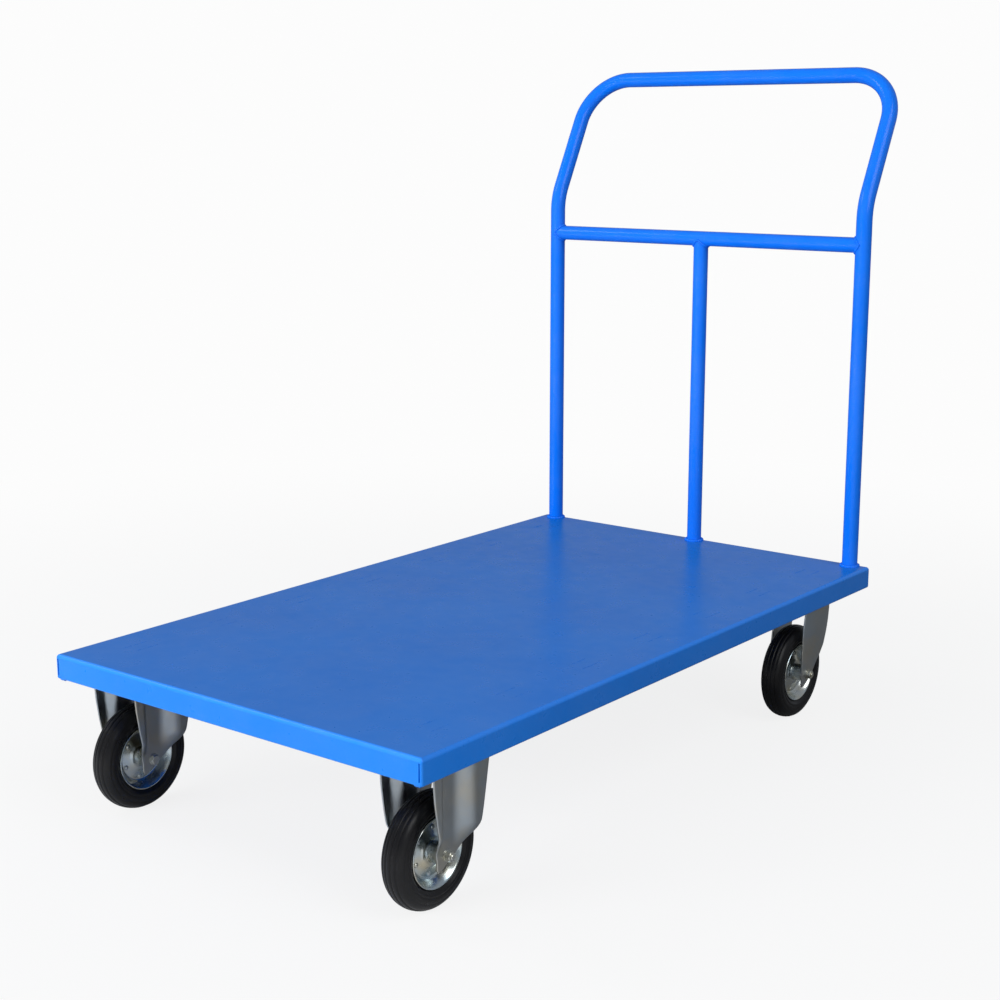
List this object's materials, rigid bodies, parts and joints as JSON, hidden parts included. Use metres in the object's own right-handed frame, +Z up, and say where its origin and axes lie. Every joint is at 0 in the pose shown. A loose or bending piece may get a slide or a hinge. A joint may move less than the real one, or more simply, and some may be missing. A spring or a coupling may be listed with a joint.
{
  "type": "platform cart",
  "caption": "Flat steel platform cart: folded sheet deck on a tube frame, welded bent-pipe push handle, fixed castors in front and trailing swivel castors under the handle.",
  "frame": {"origin": "on the floor, under the middle of the cart's outline", "axes": "+Y from the free end of the deck towards the push handle, +X to the right seen along +Y, +Z up"},
  "size_m": [0.7, 1.3119, 1.0963],
  "materials": {
    "blue_paint": "semi-gloss blue powder coat",
    "zinc_steel": "bright zinc plate",
    "plain_steel": "plain machined steel",
    "tyre": "black moulded rubber"
  },
  "bodies": {
    "cart": {"axle_bolt_front_left": "zinc_steel", "axle_bolt_front_right": "zinc_steel", "axle_nut_front_left": "zinc_steel", "axle_nut_front_right": "zinc_steel", "ball_race_left": "plain_steel", "ball_race_right": "plain_steel", "cross_rail_middle": "blue_paint", "cross_rail_rear": "blue_paint", "deck_sheet": "blue_paint", "fixed_fork_left": "zinc_steel", "fixed_fork_right": "zinc_steel", "handle_centre_post": "blue_paint", "handle_crossbar": "blue_paint", "handle_pipe": "blue_paint", "kingpin_left": "plain_steel", "kingpin_right": "plain_steel", "mount_strip_front": "blue_paint", "mount_strip_rear": "blue_paint", "mounting_bolt_front_left_1": "zinc_steel", "mounting_bolt_front_left_2": "zinc_steel", "mounting_bolt_front_left_3": "zinc_steel", "mounting_bolt_front_left_4": "zinc_steel", "mounting_bolt_front_right_1": "zinc_steel", "mounting_bolt_front_right_2": "zinc_steel", "mounting_bolt_front_right_3": "zinc_steel", "mounting_bolt_front_right_4": "zinc_steel", "mounting_bolt_rear_left_1": "zinc_steel", "mounting_bolt_rear_left_2": "zinc_steel", "mounting_bolt_rear_left_3": "zinc_steel", "mounting_bolt_rear_left_4": "zinc_steel", "mounting_bolt_rear_right_1": "zinc_steel", "mounting_bolt_rear_right_2": "zinc_steel", "mounting_bolt_rear_right_3": "zinc_steel", "mounting_bolt_rear_right_4": "zinc_steel", "side_rail_left": "blue_paint", "side_rail_right": "blue_paint", "swivel_plate_left": "zinc_steel", "swivel_plate_right": "zinc_steel"},
    "rear_left_swivel": {"axle_bolt_rear_left": "zinc_steel", "axle_nut_rear_left": "zinc_steel", "swivel_fork_left": "zinc_steel"},
    "rear_right_swivel": {"axle_bolt_rear_right": "zinc_steel", "axle_nut_rear_right": "zinc_steel", "swivel_fork_right": "zinc_steel"},
    "front_left_wheel": {"hub_front_left": "zinc_steel", "rim_inner_front_left": "zinc_steel", "rim_outer_front_left": "zinc_steel", "tyre_front_left": "tyre"},
    "front_right_wheel": {"hub_front_right": "zinc_steel", "rim_inner_front_right": "zinc_steel", "rim_outer_front_right": "zinc_steel", "tyre_front_right": "tyre"},
    "rear_left_wheel": {"hub_rear_left": "zinc_steel", "rim_inner_rear_left": "zinc_steel", "rim_outer_rear_left": "zinc_steel", "tyre_rear_left": "tyre"},
    "rear_right_wheel": {"hub_rear_right": "zinc_steel", "rim_inner_rear_right": "zinc_steel", "rim_outer_rear_right": "zinc_steel", "tyre_rear_right": "tyre"}
  },
  "joints": [
    {"name": "rear_left_swivel", "type": "hinge", "parent": "cart", "child": "rear_left_swivel", "pos_m": [-0.282, 0.4345, 0.19], "axis": [0, 0, 1], "continuous": true},
    {"name": "front_left_roll", "type": "hinge", "parent": "cart", "child": "front_left_wheel", "pos_m": [-0.282, -0.566, 0.08], "axis": [1, 0, 0], "continuous": true},
    {"name": "rear_left_roll", "type": "hinge", "parent": "rear_left_swivel", "child": "rear_left_wheel", "pos_m": [-0.282, 0.3965, 0.08], "axis": [1, 0, 0], "continuous": true},
    {"name": "rear_right_swivel", "type": "hinge", "parent": "cart", "child": "rear_right_swivel", "pos_m": [0.282, 0.4345, 0.19], "axis": [0, 0, 1], "continuous": true},
    {"name": "front_right_roll", "type": "hinge", "parent": "cart", "child": "front_right_wheel", "pos_m": [0.282, -0.566, 0.08], "axis": [1, 0, 0], "continuous": true},
    {"name": "rear_right_roll", "type": "hinge", "parent": "rear_right_swivel", "child": "rear_right_wheel", "pos_m": [0.282, 0.3965, 0.08], "axis": [1, 0, 0], "continuous": true}
  ]
}
